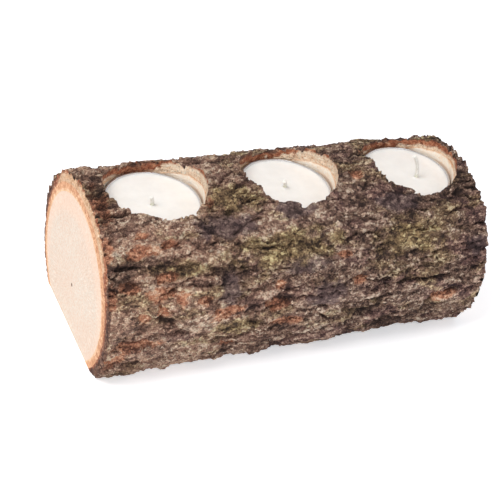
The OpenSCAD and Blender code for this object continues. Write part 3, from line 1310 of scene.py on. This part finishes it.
def make_wick_tree():
    """Three twisted strands swept up the wick's path: upright, then one arc."""
    tree, given, result = new_group(
        "twisted_wick",
        "GeometryNodeTree",
        (
            ("Foot", "Vector", (0, 0, 0)),
            ("Buried", "Float", 0.013),
            ("Shown", "Float", 0.004),
            ("Lean", "Float", 0.5),
            ("Heading", "Float", 0.0),
            ("Radius", "Float", 0.0008),
            ("Twist pitch", "Float", 0.005),
            ("Cotton", "Material", None),
        ),
    )
    inputs = {"Count": 60, "Offset": (0, 0, 1)}
    path = add(tree, "GeometryNodeMeshLine", inputs, mode="END_POINTS")
    path = add(tree, "GeometryNodeMeshToCurve", {"Mesh": path})
    share = add(tree, "GeometryNodeSplineParameter", out="Factor")
    path = keep(path, "reached", share * (given["Buried"] + given["Shown"]))
    reached = recall(tree, "reached")
    curled = maths("MAXIMUM", reached - given["Buried"], 0.0)
    curl = given["Shown"] / given["Lean"]
    bend = curled / curl
    out = (1.0 - maths("COSINE", bend)) * curl
    place = joined(
        out * maths("COSINE", given["Heading"]),
        out * maths("SINE", given["Heading"]),
        maths("MINIMUM", reached, given["Buried"]) + maths("SINE", bend) * curl,
    )
    path = moved(path, Position=vectors("ADD", place, given["Foot"]))
    twist = reached / given["Twist pitch"] * math.tau
    path = add(tree, "GeometryNodeSetCurveTilt", {"Curve": path, "Tilt": twist})
    inputs = {"Resolution": 30, "Radius": 1.0}
    outline = add(tree, "GeometryNodeCurvePrimitiveCircle", inputs)
    position = add(tree, "GeometryNodeInputPosition")
    spot = parted(position)
    angle = maths("ARCTAN2", spot["Y"], spot["X"])
    outline = keep(outline, "lobe", maths("ABSOLUTE", maths("COSINE", angle * 1.5)))
    size = (STRAND_DIP + recall(tree, "lobe") * (1 - STRAND_DIP)) * given["Radius"]
    outline = moved(outline, Position=scaled(position, size))
    inputs = {"Curve": path, "Profile Curve": outline, "Fill Caps": True}
    finished(add(tree, "GeometryNodeCurveToMesh", inputs), given["Cotton"], result)
    return tree


wick_tree = make_wick_tree()
waxed_cotton = wick_finish()
for name, (shown, lean, heading) in WICKS.items():
    wick = grown(
        f"wick_{name}_twisted",
        wick_tree,
        {
            "Foot": tab_centres[name] + Vector((0, 0, tab_floor)),
            "Buried": WAX_TOP - tab_floor,
            "Shown": shown * MM,
            "Lean": math.radians(lean),
            "Heading": math.radians(heading),
            "Radius": WICK_RADIUS,
            "Cotton": waxed_cotton,
        },
        50,
    )
    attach(wick, f"tealight_{name}")
    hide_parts(f"wick_{name}")

# ---------------------------------------------------------------------------------------
# Wax: white paraffin poured round the tab and wick. It clings to the cup's side and to the
# wick, and has sunk a little between them as it cooled.
WAX_WHITE = screen(243, 239, 233)
WAX_CLOUD = screen(237, 233, 227)
MOUND_RADIUS = 2.2 * MM
CLING_WIDTH = 2 * MM
SINK_DEPTH = 0.12 * MM
WAX_WAVE = 0.04 * MM
WAVE_LENGTH = 6 * MM
WAX_STEPS = 160


def wax_finish():
    """Milky paraffin, a little cloudy, which lets light in before it scatters."""
    material, tree, shader = new_finish("paraffin", 0.38, 0.45)
    shader.inputs["Subsurface Weight"].default_value = 0.35
    shader.inputs["Subsurface Radius"].default_value = (1.0, 0.9, 0.8)
    shader.inputs["Subsurface Scale"].default_value = 2.5 * MM
    place = millimetres(tree)
    cloud = ramp(noise(place, 0.16, 3.0, 0.55), 0.3, 0.7)
    colour = mixed(cloud, WAX_WHITE, WAX_CLOUD)
    dress(shader, colour, 0.32 + cloud * 0.14, noise(place, 1.2), 0.05 * MM, 0.5)
    return material


def settled(radius, height, angle):
    """Slow waves on the wax's top."""
    if height < WAX_TOP - SINK_DEPTH * 2:
        return radius, height
    spot = Vector((radius * math.cos(angle), radius * math.sin(angle), 0)) / WAVE_LENGTH
    calm = min(1.0, (CUP_INSIDE - radius) / MOUND_RADIUS)
    return radius, height + WAX_WAVE * calm * (mathutils_noise.noise(spot) - 0.5)


gap = 0.02 * MM
wax_side = CUP_INSIDE - gap
wax_profile = [(TAB_RADIUS + gap, CUP_WALL + gap)]
wax_profile += arc((wax_side - inner_corner, CUP_CORNER), inner_corner - gap, -90, 0, 6)
wax_profile += [(wax_side, WAX_TOP + WAX_CLING)]
for step in range(1, 9):
    share = step / 8
    wax_profile.append((wax_side - CLING_WIDTH * share, WAX_TOP + WAX_CLING * (1 - share) ** 2))
for share in (0.85, 0.7, 0.55, 0.4, 0.3):
    wax_profile.append((wax_side * share, WAX_TOP - SINK_DEPTH))
for step in range(0, 7):
    share = step / 6
    radius = MOUND_RADIUS + (WICK_RADIUS - MOUND_RADIUS) * share
    wax_profile.append((radius, WAX_TOP - SINK_DEPTH + (WAX_CLING + SINK_DEPTH) * share**2))
wax_profile += [(WICK_RADIUS, NECK_TOP), (NECK_RADIUS + gap, NECK_TOP + gap)]
wax_profile += [(NECK_RADIUS + gap, tab_floor + gap), (TAB_RADIUS + gap, tab_floor + gap)]
paraffin = wax_finish()
flat_radius = wax_side - CLING_WIDTH
for name in NAMES:
    centre = POCKET_CENTRES[name]
    wax = turned(f"wax_{name}_poured", centre, wax_profile, WAX_STEPS, settled, True)
    # The tab and the wick stand off the middle, so the wax round them does too
    aside = tab_centres[name] - centre
    for vertex in wax.data.vertices:
        reach = (vertex.co - centre).xy.length
        hold = min(1.0, max(0.0, (flat_radius - reach) / (flat_radius - TAB_RADIUS - gap)))
        vertex.co += aside * hold
    wax.data.materials.append(paraffin)
    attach(wax, f"tealight_{name}")
    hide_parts(f"wax_{name}")
